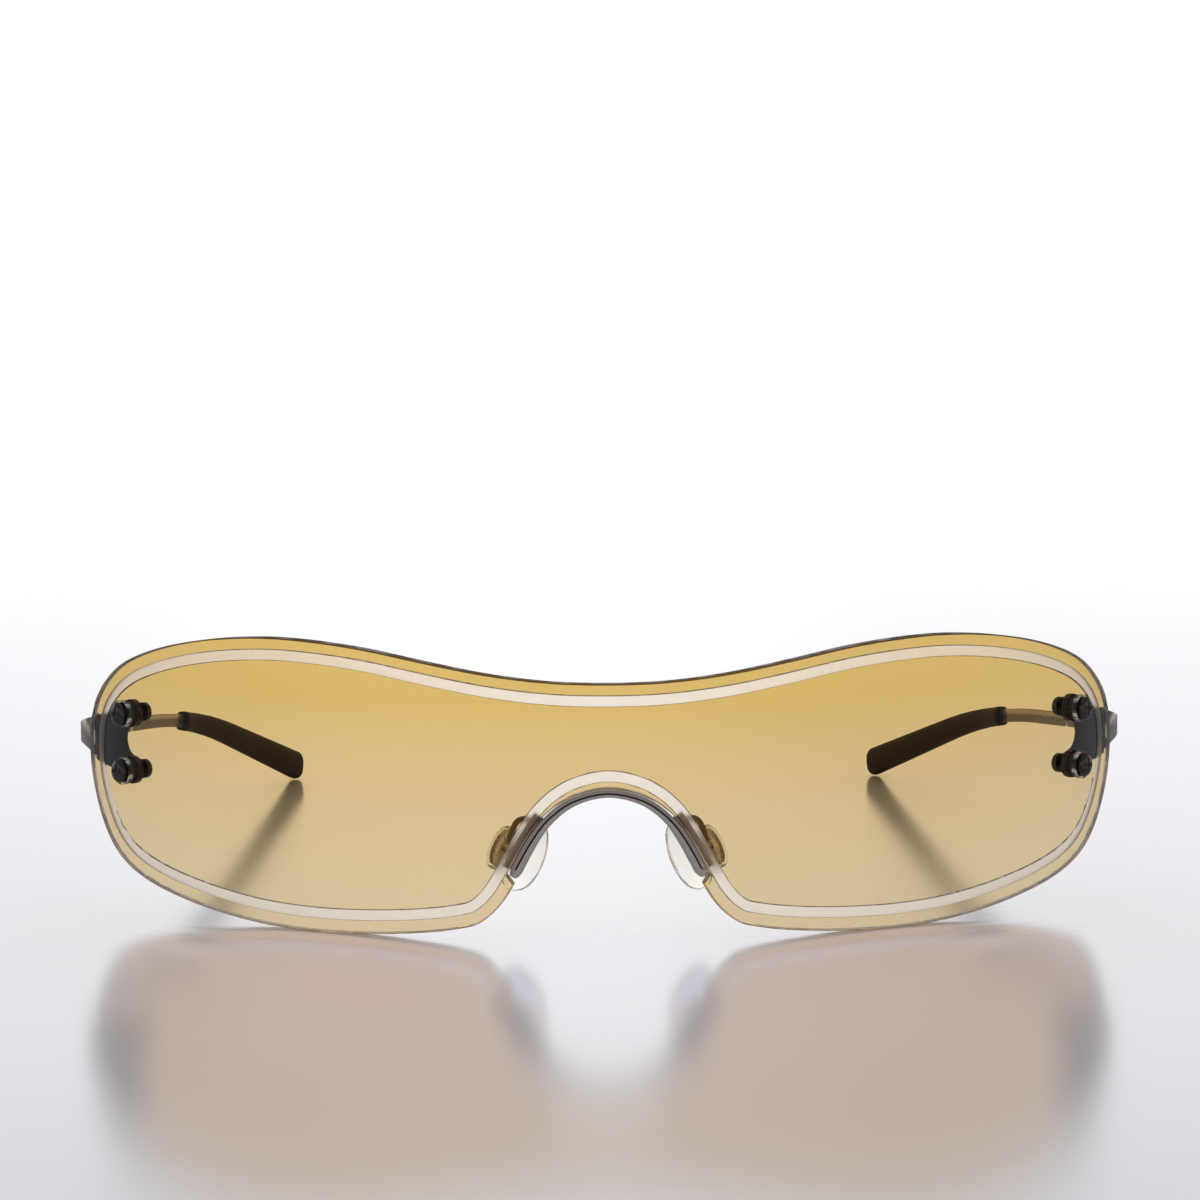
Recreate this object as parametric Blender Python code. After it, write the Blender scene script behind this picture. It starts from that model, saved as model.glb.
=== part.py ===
"""Rimless wraparound sunglasses with a one-piece lens shield.

Metres, +Z up. X runs across the face and the front looks along -Y. The glasses stand on the
two lower lobes of the lens and on the two temple tips, and the origin lies on that plane under
the middle of the part's box. Pieces are modelled on the +X side and mirrored where they repeat.

The lens is drawn flat, as u along its curve and z up, and then bent round a vertical cylinder.
What is fastened to it is placed in the same flat coordinates, with a depth behind its front face.
"""

from math import ceil, cos, pi, radians, sin, sqrt

import bmesh
import bpy
import numpy as np
from mathutils import Matrix, Vector

# Fits shared by all pieces
seat_gap = 0.00020
running_gap = 0.00012
knuckle_gap = 0.00030
cut_overrun = 0.0010

# Lens shield
lens_arc = 0.1706
lens_height = 0.0392
lens_radius = 0.0850
lens_thickness = 0.0020
lens_edge_bevel = 0.00018
groove_margin = 0.00162
groove_width = 0.00155
groove_depth = 0.00055
groove_draft = 0.00010
outline_step = 0.0025
bend_step = 0.0040
tangent_step = 0.00020

# Nose cut-out and its metal strip
nose_width = 0.0340
nose_height = 0.0195
strip_half_length = 0.0176
strip_width = 0.00088
strip_end_width = 0.00145
strip_proud = 0.00028
strip_end_proud = 0.00016
strip_front_proud = 0.00020
strip_rear_proud = 0.00045
strip_groove_width = 0.00022
strip_groove_depth = 0.00022
strip_groove_end = 0.0012
strip_bevel = 0.00018
strip_step = 0.0012
recess_step_run = 0.0007
ear_length = 0.0080
ear_setback = 0.00030
ear_reach = 0.00120
ear_thickness = 0.0007

# Screws that hold the end pieces to the lens
screw_inset = 0.0108
screw_spacing = 0.0079
screw_height = 0.0230
screw_head_radius = 0.00160
screw_head_height = 0.00075
screw_head_rim = 0.00030
screw_shank_radius = 0.00060
screw_recess_width = 0.00040
screw_recess_reach = 0.00095
screw_recess_depth = 0.00040
washer_radius = 0.00190
washer_thickness = 0.00080
bush_radius = 0.00170
bush_proud = 0.00070
nut_radius = 0.00134
nut_length = 0.00090
nut_dome = 0.00035

# End piece behind the lens
plate_thickness = 0.00070
plate_outer_height = 0.0063
horn_radius = 0.00136
notch_radius = 0.00230
notch_shift = 0.00100
plate_corner_radius = 0.0006
plate_bend_step = 0.0020

# Hinge
hinge_height = 0.0224
hinge_reach = 0.0023
hinge_inset = 0.0005
knuckle_radius = 0.00105
knuckle_height = 0.00140
middle_knuckle_height = 0.00150
hinge_web = 0.00080
hinge_pin_radius = 0.00045
hinge_head_radius = 0.00085
hinge_head_height = 0.00050
hinge_slot_width = 0.00025

# Temple
tip_reach = 0.1575
temple_inset = 0.00075
temple_start_gap = 0.00050
temple_turn_radius = 0.0126
temple_inward_angle = radians(12.65)
temple_thickness = 0.00070
temple_height = 0.0020
temple_bevel = 0.00012
temple_start_height = 0.02285
tab_top = 0.0024
tab_bottom = 0.00245
tab_length = 0.0140
temple_slope = 0.080
bend_start = 0.0390
bend_length = 0.0400
core_height = 0.0013
core_thickness = 0.0005
core_length = 0.0500

# Temple tip sleeve
sleeve_length = 0.0650
sleeve_mouth_height = 0.0028
sleeve_mouth_thickness = 0.0021
sleeve_end_height = 0.0046
sleeve_end_thickness = 0.0027
sleeve_end_round = 0.0018
collar_length = 0.0018
collar_proud = 0.00007
socket_gap = 0.00025
socket_spare = 0.0020

# Nose pads
pad_centre_x = 0.0106
pad_centre_behind = 0.0112
pad_centre_height = 0.0097
pad_splay = radians(30.0)
pad_tilt = radians(26.0)
pad_length = 0.0100
pad_width = 0.0078
pad_thickness = 0.0022
boss_height = 0.0038
boss_wall = 0.0006
insert_length = 0.0050
insert_width = 0.0032
insert_thickness = 0.00110
insert_slot_length = 0.0026
insert_slot_width = 0.00125
boss_length = insert_length + 2 * boss_wall
boss_width = insert_width + 2 * boss_wall

# Pad arms
arm_radius = 0.00042
arm_crest_x = 0.0118
arm_crest_behind = 0.0056
arm_crest_height = 0.0155
arm_bend_x = 0.0129
arm_bend_behind = 0.0061
arm_bend_height = 0.0130
arm_knee_out = 0.00075
arm_knee_up = 0.00045
arm_knee_back = 0.00015
arm_pin_radius = 0.00024
arm_pin_head_radius = 0.00036
arm_pin_head_length = 0.00022

round_sides = 18
small_sides = 16
pad_sides = 24
wire_sides = 8

half_arc = lens_arc / 2
nose_foot = nose_width / 2
front_y = (strip_front_proud - tip_reach) / 2

# Outline of the lens, chosen by hand. Brow: shares of half the arc and of the lens height,
# from the middle out. Lobe: shares of the run from the outer side in to the nose foot, and of
# the lens height. Nose: shares of half the nose width and of the nose height, up to the top.
brow_shares = [
    (0.000, 0.873), (0.094, 0.879), (0.190, 0.902), (0.290, 0.939), (0.385, 0.975),
    (0.470, 0.994), (0.560, 1.000), (0.655, 0.986), (0.750, 0.954), (0.835, 0.908),
    (0.900, 0.855), (0.946, 0.791), (0.977, 0.722), (0.994, 0.648), (1.000, 0.560),
]
lobe_shares = [
    (0.9956, 0.470), (0.978, 0.376), (0.949, 0.285), (0.909, 0.205), (0.858, 0.147),
    (0.791, 0.104), (0.706, 0.069), (0.590, 0.034), (0.469, 0.009), (0.351, 0.000),
    (0.234, 0.004), (0.132, 0.016), (0.053, 0.034),
]
nose_shares = [
    (1.000, 0.1205), (0.882, 0.215), (0.800, 0.303), (0.712, 0.436), (0.577, 0.651),
    (0.447, 0.815), (0.259, 0.944), (0.000, 1.000),
]
strip_groove_share = 0.58
strip_spread_share = 0.8
strip_end_shares = [1.2, 0.8, 0.5, 0.25, 0.08]
arm_foot_shares = [0.35, 0.60, 0.88]
tab_top_power_share = 1.5
tab_bottom_power_share = 4.0

# Profiles as shares, chosen by hand. Domes: radius against rise. Pad: size against half thickness.
screw_dome_shares = [(0.33, 1.00), (0.72, 0.72), (0.92, 0.38), (1.00, 0.00)]
nut_dome_shares = [(1.00, 0.00), (0.88, 0.60), (0.55, 1.00)]
hinge_head_shares = [(0.80, 1.00), (1.00, 0.67), (1.00, 0.00)]
pad_dome_shares = [(0.25, 1.00), (0.55, 0.90), (0.80, 0.62), (0.94, 0.28), (1.00, -0.20)]
pad_taper_share = 0.10
pad_rim_share = 0.22
collar_step_share = 0.90
sleeve_corner_share = 0.72
sleeve_flare_share = 0.85
tip_round_angles = [0, 30, 55, 75]


# Materials

def material(name, colour, roughness, metallic, transmission=0.0):
    """A Principled material, made once for each name."""
    found = bpy.data.materials.get(name)
    if found:
        return found
    made = bpy.data.materials.new(name)
    made.use_nodes = True
    shader = made.node_tree.nodes["Principled BSDF"]
    shader.inputs["Base Color"].default_value = (*colour, 1.0)
    shader.inputs["Roughness"].default_value = roughness
    shader.inputs["Metallic"].default_value = metallic
    shader.inputs["Transmission Weight"].default_value = transmission
    made.diffuse_color = (*colour, 1.0)
    return made


def amber_lens():
    return material("amber_lens", (0.72, 0.50, 0.20), 0.05, 0.0, 0.9)


def grey_metal():
    return material("grey_metal", (0.30, 0.27, 0.27), 0.38, 1.0)


def black_metal():
    return material("black_metal", (0.02, 0.02, 0.022), 0.35, 1.0)


def brushed_steel():
    return material("brushed_steel", (0.45, 0.43, 0.42), 0.32, 1.0)


def black_plastic():
    return material("black_plastic", (0.02, 0.018, 0.018), 0.55, 0.0)


def clear_plastic():
    return material("clear_plastic", (0.95, 0.95, 0.95), 0.08, 0.0, 0.95)


def clear_silicone():
    return material("clear_silicone", (0.90, 0.88, 0.80), 0.25, 0.0, 0.8)


# Mesh helpers

def add_object(name, mesh, look=None):
    """An object for a finished mesh, smooth on its round faces."""
    made = bpy.data.objects.new(name, mesh)
    bpy.context.scene.collection.objects.link(made)
    if look:
        mesh.materials.clear()
        mesh.materials.append(look)
    mesh.shade_smooth()
    mesh.set_sharp_from_angle(angle=radians(35.0))
    return made


def as_mesh(name, bm):
    """Closes a bmesh off as mesh data with its faces pointing out."""
    bmesh.ops.recalc_face_normals(bm, faces=bm.faces)
    mesh = bpy.data.meshes.new(name)
    bm.to_mesh(mesh)
    bm.free()
    return mesh


def loft(name, rings, closed=False):
    """Joins rings of points, each with as many, into one skin: capped at its ends, or closed."""
    bm = bmesh.new()
    loops = [[bm.verts.new(point) for point in ring] for ring in rings]
    pairs = list(zip(loops, loops[1:]))
    if closed:
        pairs.append((loops[-1], loops[0]))
    else:
        bm.faces.new(list(reversed(loops[0])))
        bm.faces.new(loops[-1])
    for first, second in pairs:
        for i in range(len(first)):
            j = (i + 1) % len(first)
            bm.faces.new((first[i], first[j], second[j], second[i]))
    return as_mesh(name, bm)


def circle(radius, height, sides):
    """Points of a circle round the local Z axis."""
    turns = [2 * pi * i / sides for i in range(sides)]
    return [Vector((radius * cos(a), radius * sin(a), height)) for a in turns]


def turned(name, profile, sides, closed=False):
    """A body of revolution about local Z from (radius, height) pairs."""
    return loft(name, [circle(r, h, sides) for r, h in profile], closed)


def box(name, low, high):
    """A rectangular block between two corners."""
    ring = [(low[0], low[1]), (high[0], low[1]), (high[0], high[1]), (low[0], high[1])]
    return loft(name, [[Vector((x, y, z)) for x, y in ring] for z in (low[2], high[2])])


def combine(mesh, tools, operation):
    """Adds tools to a mesh or cuts them out of it, with exact Booleans, and returns the result."""
    body = bpy.data.objects.new(mesh.name, mesh)
    bpy.context.scene.collection.objects.link(body)
    cutters = []
    for tool in tools:
        cutter = bpy.data.objects.new("tool", tool)
        bpy.context.scene.collection.objects.link(cutter)
        cutter.hide_render = True
        cutter.display_type = "WIRE"
        step = body.modifiers.new("step", "BOOLEAN")
        step.object = cutter
        step.operation = operation
        step.solver = "EXACT"
        cutters.append(cutter)
    graph = bpy.context.evaluated_depsgraph_get()
    result = bpy.data.meshes.new_from_object(body.evaluated_get(graph))
    result.name = mesh.name
    for made in [body, *cutters]:
        bpy.data.objects.remove(made)
    return result


def placed(mesh, matrix):
    """The same mesh, moved."""
    mesh.transform(matrix)
    return mesh


def mirrored(mesh, name):
    """A copy of a mesh on the other side of the part's middle plane."""
    copy = mesh.copy()
    copy.name = name
    copy.transform(Matrix.Scale(-1, 4, Vector((1, 0, 0))))
    copy.flip_normals()
    return copy


def pair(name, mesh, look, pivot=None):
    """The +X piece and its mirror image, each with its origin on its own axis."""
    made = []
    other = mirrored(mesh, name + "_left")
    for side, data, sign in (("right", mesh, 1), ("left", other, -1)):
        piece = add_object(f"{name}_{side}", data, look)
        if pivot is not None:
            origin = Vector((sign * pivot.x, pivot.y, pivot.z))
            data.transform(Matrix.Translation(-origin))
            piece.location = origin
        made.append(piece)
    return made


# The lens surface

def bent(u, z, depth):
    """A point of the flat drawing, wrapped round the lens cylinder at a depth behind its front."""
    angle = u / lens_radius
    radius = lens_radius - depth
    return Vector((radius * sin(angle), front_y + lens_radius - radius * cos(angle), z))


def bend_mesh(bm):
    """Wraps a flat bmesh, whose Y is the depth behind the front face."""
    for vert in bm.verts:
        vert.co = bent(vert.co.x, vert.co.z, vert.co.y)


def lens_frame(u, z, depth):
    """Axes at a point of the lens with local +Z standing out of its front face."""
    out = (bent(u, z, depth - lens_thickness) - bent(u, z, depth)).normalized()
    up = Vector((0, 0, 1))
    side = up.cross(out)
    turn = Matrix((side, up, out)).transposed().to_4x4()
    return Matrix.Translation(bent(u, z, depth)) @ turn


def smooth_run(points, pieces):
    """Points on a Catmull-Rom curve through the given ones."""
    held = [np.array(p, float) for p in points]
    first = 2 * held[0] - held[1]
    last = 2 * held[-1] - held[-2]
    if held[0][0] == 0:
        first = held[1] * np.array((-1, 1))
    if held[-1][0] == 0:
        last = held[-2] * np.array((-1, 1))
    chain = [first, *held, last]
    run = []
    for a, b, c, d in zip(chain, chain[1:], chain[2:], chain[3:]):
        for t in np.arange(pieces) / pieces:
            bend = 2 * a - 5 * b + 4 * c - d
            twist = 3 * b - a - 3 * c + d
            run.append((2 * b + (c - a) * t + bend * t ** 2 + twist * t ** 3) / 2)
    run.append(held[-1])
    return np.array(run)


def half_outline():
    """The +X half of the flat outline, from the top of the nose round to the middle of the brow."""
    brow = [(half_arc * x, lens_height * z) for x, z in brow_shares]
    span = half_arc - nose_foot
    lobe = [(nose_foot + span * x, lens_height * z) for x, z in lobe_shares]
    nose = [(nose_foot * x, nose_height * z) for x, z in nose_shares]
    return smooth_run(list(reversed(brow + lobe + nose)), 12)


def along(run, lengths):
    """Points of a run at the given distances from its start."""
    steps = np.linalg.norm(np.diff(run, axis=0), axis=1)
    travelled = np.concatenate(([0], np.cumsum(steps)))
    xs = np.interp(lengths, travelled, run[:, 0])
    zs = np.interp(lengths, travelled, run[:, 1])
    return np.column_stack((xs, zs)), travelled[-1]


def strip_reach(length):
    """How far the strip stands out of the nose edge and reaches into it, by distance from its top."""
    share = min(1, abs(length) / (strip_half_length * strip_spread_share))
    eased = share * share * (3 - 2 * share)
    proud = strip_proud + (strip_end_proud - strip_proud) * eased
    width = strip_width + (strip_end_width - strip_width) * eased
    return proud, width - proud


def lens_stations():
    """Flat outline points round the whole lens, and how deep the strip's recess is at each."""
    run = half_outline()
    total = along(run, [0])[1]
    strip_end = strip_half_length + seat_gap
    strip_count = ceil(strip_end / outline_step)
    rest_start = strip_end + recess_step_run
    rest_count = ceil((total - rest_start) / outline_step)
    lengths = list(np.linspace(0, strip_end, strip_count + 1))
    lengths += list(np.linspace(rest_start, total, rest_count + 1))
    right = along(run, lengths)[0]
    recess = np.array([strip_reach(s)[1] + seat_gap if s <= strip_end else 0 for s in lengths])
    left = right[1:-1][::-1] * np.array((-1, 1))
    points = np.vstack((right, left))
    return points, np.concatenate((recess, recess[1:-1][::-1]))


def inward(points):
    """Unit normals of a closed flat outline, pointing into the lens."""
    ahead = np.roll(points, -1, axis=0) - points
    behind = points - np.roll(points, 1, axis=0)
    ahead /= np.linalg.norm(ahead, axis=1)[:, None]
    behind /= np.linalg.norm(behind, axis=1)[:, None]
    run = ahead + behind
    run /= np.linalg.norm(run, axis=1)[:, None]
    return np.column_stack((-run[:, 1], run[:, 0]))


def lens_mesh():
    """The shield: a bevelled edge, a recess for the strip and a groove in the rear face."""
    points, recess = lens_stations()
    normals = inward(points)
    edge = points + normals * recess[:, None]
    groove_outer = groove_margin
    groove_inner = groove_margin + groove_width
    rear = lens_thickness
    floor = lens_thickness - groove_depth
    levels = [
        (edge + normals * lens_edge_bevel, 0),
        (edge, lens_edge_bevel),
        (edge, rear - lens_edge_bevel),
        (edge + normals * lens_edge_bevel, rear),
        (points + normals * groove_outer, rear),
        (points + normals * (groove_outer + groove_draft), floor),
        (points + normals * (groove_inner - groove_draft), floor),
        (points + normals * groove_inner, rear),
    ]
    bm = bmesh.new()
    loops = [[bm.verts.new((x, depth, z)) for x, z in ring] for ring, depth in levels]
    for first, second in zip(loops, loops[1:]):
        for i in range(len(first)):
            j = (i + 1) % len(first)
            bm.faces.new((first[i], first[j], second[j], second[i]))
    faces = [bm.faces.new(loops[0]), bm.faces.new(loops[-1])]
    slice_flat(bm, faces, half_arc, bend_step)
    bmesh.ops.triangulate(bm, faces=[f for f in bm.faces if len(f.verts) > 4])
    bend_mesh(bm)
    return as_mesh("lens_shield", bm)


def slice_flat(bm, faces, reach, step):
    """Splits flat faces along lines of constant u, so that they can bend."""
    count = int(reach / step)
    for k in range(-count, count + 1):
        faces = [f for f in faces if f.is_valid]
        edges = {e for f in faces for e in f.edges}
        verts = {v for f in faces for v in f.verts}
        cut = bmesh.ops.bisect_plane(
            bm, geom=[*faces, *edges, *verts], dist=seat_gap,
            plane_co=(k * step, 0, 0), plane_no=(1, 0, 0),
        )
        faces = [g for g in cut["geom"] if isinstance(g, bmesh.types.BMFace)]


def screw_places():
    """Flat place and name of each screw on the +X side."""
    u = half_arc - screw_inset
    upper = screw_height + screw_spacing / 2
    lower = screw_height - screw_spacing / 2
    return [("upper", u, upper), ("lower", u, lower)]


def make_lens():
    """The shield with its four bush holes."""
    holes = []
    for sign in (1, -1):
        for _, u, z in screw_places():
            reach = lens_thickness + cut_overrun
            hole = turned("hole", [(bush_radius + seat_gap, h) for h in (reach, -reach)], round_sides)
            holes.append(placed(hole, lens_frame(sign * u, z, 0)))
    add_object("lens_shield", combine(lens_mesh(), holes, "DIFFERENCE"), amber_lens())


# Nose bridge

def strip_path(lengths):
    """Flat points and inward normals of the nose edge, by signed distance from its top."""
    run = half_outline()
    mirror = run[1:][::-1] * np.array((-1, 1))
    whole = np.vstack((mirror, run))
    half = along(run, [0])[1]
    points = along(whole, half + np.array(lengths))[0]
    ahead = along(whole, half + np.array(lengths) + tangent_step)[0]
    behind = along(whole, half + np.array(lengths) - tangent_step)[0]
    tangent = (ahead - behind) / np.linalg.norm(ahead - behind, axis=1)[:, None]
    return points, np.column_stack((-tangent[:, 1], tangent[:, 0]))


def strip_section(length, point, normal, narrow, groove):
    """One ring of the strip: a bar with a narrow groove along its front face."""
    proud, sunk = strip_reach(length)
    middle = (sunk - proud) / 2
    half = narrow * (sunk + proud) / 2
    front = -strip_front_proud
    rear = lens_thickness + strip_rear_proud
    notch = middle + (2 * strip_groove_share - 1) * half
    wide = narrow * strip_groove_width / 2
    bevel = strip_bevel * narrow
    section = [
        (middle - half, front + bevel), (middle - half + bevel, front), (notch - wide, front),
        (notch, front + groove), (notch + wide, front), (middle + half, front),
        (middle + half, rear), (middle - half, rear),
    ]
    return [bent(*(point + normal * a), d) for a, d in section]


def make_nose_bridge():
    """The strip along the nose cut-out, round at its ends, with an ear behind each flank."""
    round_end = strip_end_width / 2
    plain_half = strip_half_length - strip_groove_end
    count = ceil(plain_half / strip_step)
    body = list(np.linspace(-plain_half, plain_half, 2 * count + 1))
    tail = [strip_half_length - round_end * share for share in strip_end_shares]
    body = [-s for s in reversed(tail)] + body + tail
    points, normals = strip_path(body)
    rings = []
    for s, point, normal in zip(body, points, normals):
        left_over = strip_half_length - abs(s)
        share = min(1, left_over / round_end)
        narrow = sqrt(1 - (1 - share) ** 2)
        groove = strip_groove_depth if abs(s) <= plain_half else 0
        rings.append(strip_section(s, point, normal, narrow, groove))
    strip = loft("nose_bridge", rings)
    ears = []
    for sign in (1, -1):
        ears.append(ear_mesh(sign))
    add_object("nose_bridge", combine(strip, ears, "UNION"), grey_metal())


def ear_mesh(sign):
    """The flat ear behind the lens margin, soldered to one flank of the strip."""
    end = strip_half_length - ear_setback
    lengths = [sign * s for s in np.linspace(end - ear_length, end, 6)]
    points, normals = strip_path(lengths)
    sunk = strip_reach(end)[1]
    inner = sunk - strip_end_width / 2
    outer = sunk + ear_reach
    near = lens_thickness + seat_gap
    far = near + ear_thickness
    rings = []
    for point, normal in zip(points, normals):
        section = [(inner, near), (outer, near), (outer, far), (inner, far)]
        rings.append([bent(*(point + normal * a), d) for a, d in section])
    return loft("ear", rings)


# Fasteners through the lens

def stack_levels():
    """Heights of the stack's joints above the lens front face, from the nut out to the head."""
    plate_front = -(lens_thickness + seat_gap)
    plate_rear = plate_front - plate_thickness
    nut_front = plate_rear - seat_gap
    washer_rear = bush_proud + seat_gap / 2
    washer_front = washer_rear + washer_thickness
    head_rear = washer_front + seat_gap / 2
    return plate_front, plate_rear, nut_front, washer_rear, washer_front, head_rear


def screw_mesh():
    """A pan-head screw with a cross recess."""
    nut_front = stack_levels()[2]
    seat = stack_levels()[5]
    tip = nut_front - nut_length / 2
    rim = seat + screw_head_rim
    crown = seat + screw_head_height
    dome = [(screw_head_radius * r, rim + (crown - rim) * h) for r, h in screw_dome_shares]
    shank = [(screw_head_radius, seat), (screw_shank_radius, seat), (screw_shank_radius, tip)]
    body = turned("lens_screw", dome + shank, round_sides)
    half = screw_recess_width / 2
    floor = crown - screw_recess_depth
    top = crown + cut_overrun
    reach = screw_recess_reach
    bars = [
        box("bar", (-reach, -half, floor), (reach, half, top)),
        box("bar", (-half, -reach, floor), (half, reach, top)),
    ]
    return combine(body, bars, "DIFFERENCE")


def washer_mesh():
    """The clear washer under the head."""
    rear, front = stack_levels()[3:5]
    bore = screw_shank_radius + seat_gap
    profile = [(washer_radius, front), (washer_radius, rear), (bore, rear), (bore, front)]
    return turned("lens_washer", profile, round_sides, closed=True)


def bush_mesh():
    """The black bush that lines the lens hole and stands proud of the front face."""
    rear = -lens_thickness
    bore = screw_shank_radius + seat_gap
    profile = [(bush_radius, bush_proud), (bush_radius, rear), (bore, rear), (bore, bush_proud)]
    return turned("lens_bush", profile, round_sides, closed=True)


def nut_mesh():
    """A domed cap nut with a blind bore, behind the end piece."""
    front = stack_levels()[2]
    end = front - nut_length
    bore = screw_shank_radius + running_gap
    bore_end = front - (nut_length - nut_dome)
    dome = [(nut_radius * r, end + nut_dome * (1 - h)) for r, h in nut_dome_shares]
    profile = [(bore, bore_end), (bore, front), (nut_radius, front), *dome]
    return turned("cap_nut", profile, small_sides)


def make_fasteners():
    """Each screw, washer, bush and nut at its place on the lens."""
    kinds = [
        ("lens_screw", screw_mesh(), black_metal), ("lens_washer", washer_mesh(), clear_plastic),
        ("lens_bush", bush_mesh(), black_plastic), ("cap_nut", nut_mesh(), black_metal),
    ]
    for side, sign in (("right", 1), ("left", -1)):
        for level, u, z in screw_places():
            frame = lens_frame(sign * u, z, 0)
            for kind, mesh, look in kinds:
                piece = add_object(f"{kind}_{side}_{level}", mesh, look())
                piece.matrix_world = frame


# End pieces

def arc(centre, radius, start, end, count):
    """Flat points along an arc, angles in degrees."""
    turns = [radians(a) for a in np.linspace(start, end, count)]
    return [(centre[0] + radius * cos(a), centre[1] + radius * sin(a)) for a in turns]


def plate_outline():
    """The C-shaped plate: two round horns under the screws and a round notch between them."""
    upper, lower = [(u, z) for _, u, z in screw_places()]
    top = hinge_height + plate_outer_height / 2
    bottom = hinge_height - plate_outer_height / 2
    edge = half_arc
    r = plate_corner_radius
    notch = (upper[0] + notch_shift, screw_height)
    points = arc((edge - r, top - r), r, 0, 75, 4)
    points += arc(upper, horn_radius, 75, 280, 12)
    points += arc(notch, notch_radius, 68, -68, 11)
    points += arc(lower, horn_radius, 80, 285, 12)
    points += arc((edge - r, bottom + r), r, -75, 0, 4)
    return points


def plate_mesh():
    """The plate bent to the rear of the lens."""
    near = lens_thickness + seat_gap
    bm = bmesh.new()
    front, rear = [
        [bm.verts.new((u, depth, z)) for u, z in plate_outline()]
        for depth in (near, near + plate_thickness)
    ]
    for i in range(len(front)):
        j = (i + 1) % len(front)
        bm.faces.new((front[i], front[j], rear[j], rear[i]))
    faces = [bm.faces.new(front), bm.faces.new(rear)]
    slice_flat(bm, faces, half_arc, plate_bend_step)
    bmesh.ops.triangulate(bm, faces=[f for f in bm.faces if len(f.verts) > 4])
    bend_mesh(bm)
    return as_mesh("endpiece", bm)


def hinge_axis():
    """The point of the +X hinge axis at the hinge height."""
    middle = lens_thickness + seat_gap + plate_thickness / 2
    end = bent(half_arc, hinge_height, middle)
    angle = half_arc / lens_radius
    run = Vector((cos(angle), sin(angle), 0))
    inside = Vector((-sin(angle), cos(angle), 0))
    return end + run * hinge_reach + inside * hinge_inset


def knuckle_levels():
    """Height ranges of the lower, middle and upper knuckles."""
    middle_low = hinge_height - middle_knuckle_height / 2
    middle_high = hinge_height + middle_knuckle_height / 2
    low = middle_low - knuckle_gap
    high = middle_high + knuckle_gap
    return (low - knuckle_height, low), (middle_low, middle_high), (high, high + knuckle_height)


def bar_between(start, end, width, low, high):
    """An upright bar whose plan runs from one point to another."""
    run = (end - start).to_2d().normalized()
    side = Vector((-run.y, run.x)) * width / 2
    plan = [start.to_2d() - side, end.to_2d() - side, end.to_2d() + side, start.to_2d() + side]
    return loft("bar", [[Vector((*p, z)) for p in plan] for z in (low, high)])


def knuckle(low, high):
    """The round eye of one knuckle on the hinge axis."""
    axis = hinge_axis()
    eye = turned("eye", [(knuckle_radius, high), (knuckle_radius, low)], small_sides)
    return placed(eye, Matrix.Translation((axis.x, axis.y, 0)))


def hinge_bore():
    """The bore through all three knuckles."""
    axis = hinge_axis()
    low = knuckle_levels()[0][0] - cut_overrun
    high = knuckle_levels()[2][1] + cut_overrun
    radius = hinge_pin_radius + running_gap
    bore = turned("bore", [(radius, high), (radius, low)], small_sides)
    return placed(bore, Matrix.Translation((axis.x, axis.y, 0)))


def make_endpieces():
    """Plate, two webs and two knuckles in one piece, with screw holes and the hinge bore."""
    middle = lens_thickness + seat_gap + plate_thickness / 2
    root = bent(half_arc - plate_corner_radius, hinge_height, middle)
    added = []
    for low, high in (knuckle_levels()[0], knuckle_levels()[2]):
        added.append(bar_between(root, hinge_axis(), hinge_web, low, high))
        added.append(knuckle(low, high))
    body = combine(plate_mesh(), added, "UNION")
    cuts = [hinge_bore()]
    reach = lens_thickness + plate_thickness + cut_overrun
    for _, u, z in screw_places():
        radius = screw_shank_radius + seat_gap
        hole = turned("hole", [(radius, 0), (radius, -reach)], small_sides)
        cuts.append(placed(hole, lens_frame(u, z, 0)))
    pair("endpiece", combine(body, cuts, "DIFFERENCE"), black_metal())


def make_hinge_screws():
    """A slotted screw down each hinge axis, its end flush with the lowest knuckle."""
    low = knuckle_levels()[0][0]
    seat = knuckle_levels()[2][1] + running_gap
    crown = seat + hinge_head_height
    head = [(hinge_head_radius * r, seat + hinge_head_height * h) for r, h in hinge_head_shares]
    pin = [(hinge_pin_radius, seat), (hinge_pin_radius, low)]
    body = turned("hinge_screw", head + pin, small_sides)
    half = hinge_slot_width / 2
    reach = hinge_head_radius + cut_overrun
    floor = crown - hinge_head_height / 2
    slot = box("slot", (-reach, -half, floor), (reach, half, crown + cut_overrun))
    screw = combine(body, [slot], "DIFFERENCE")
    axis = hinge_axis()
    pair("hinge_screw", placed(screw, Matrix.Translation((axis.x, axis.y, 0))), black_metal())


# Temples

def temple_plan(p):
    """Plan point and heading of the temple's middle line, at a distance from its front end."""
    u = half_arc + temple_start_gap
    start = bent(u, 0, temple_inset)
    first = pi / 2 - u / lens_radius
    turn = (first + temple_inward_angle) * temple_turn_radius
    bend = min(p, turn)
    heading = first - bend / temple_turn_radius
    x = start.x + temple_turn_radius * (cos(heading) - cos(first))
    y = start.y + temple_turn_radius * (sin(first) - sin(heading))
    straight = p - bend
    return x + straight * sin(heading), y + straight * cos(heading), heading


def temple_plan_length():
    """Distance along the plan at which the tip reaches its full depth."""
    u = half_arc + temple_start_gap
    turn = (pi / 2 - u / lens_radius + temple_inward_angle) * temple_turn_radius
    left_over = front_y + tip_reach - temple_plan(turn)[1]
    return turn + left_over / cos(temple_inward_angle)


def tip_slope():
    """Downward slope of the tip that lets the sleeve's lower edge touch the table."""
    length = temple_plan_length() - sleeve_end_round
    steep = length - bend_start - bend_length / 2
    slope = temple_slope
    for _ in range(8):
        centre = sleeve_end_height / 2 * sqrt(1 + slope ** 2)
        drop = temple_start_height - centre
        slope = temple_slope + (drop - temple_slope * length) / steep
    return slope


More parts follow.
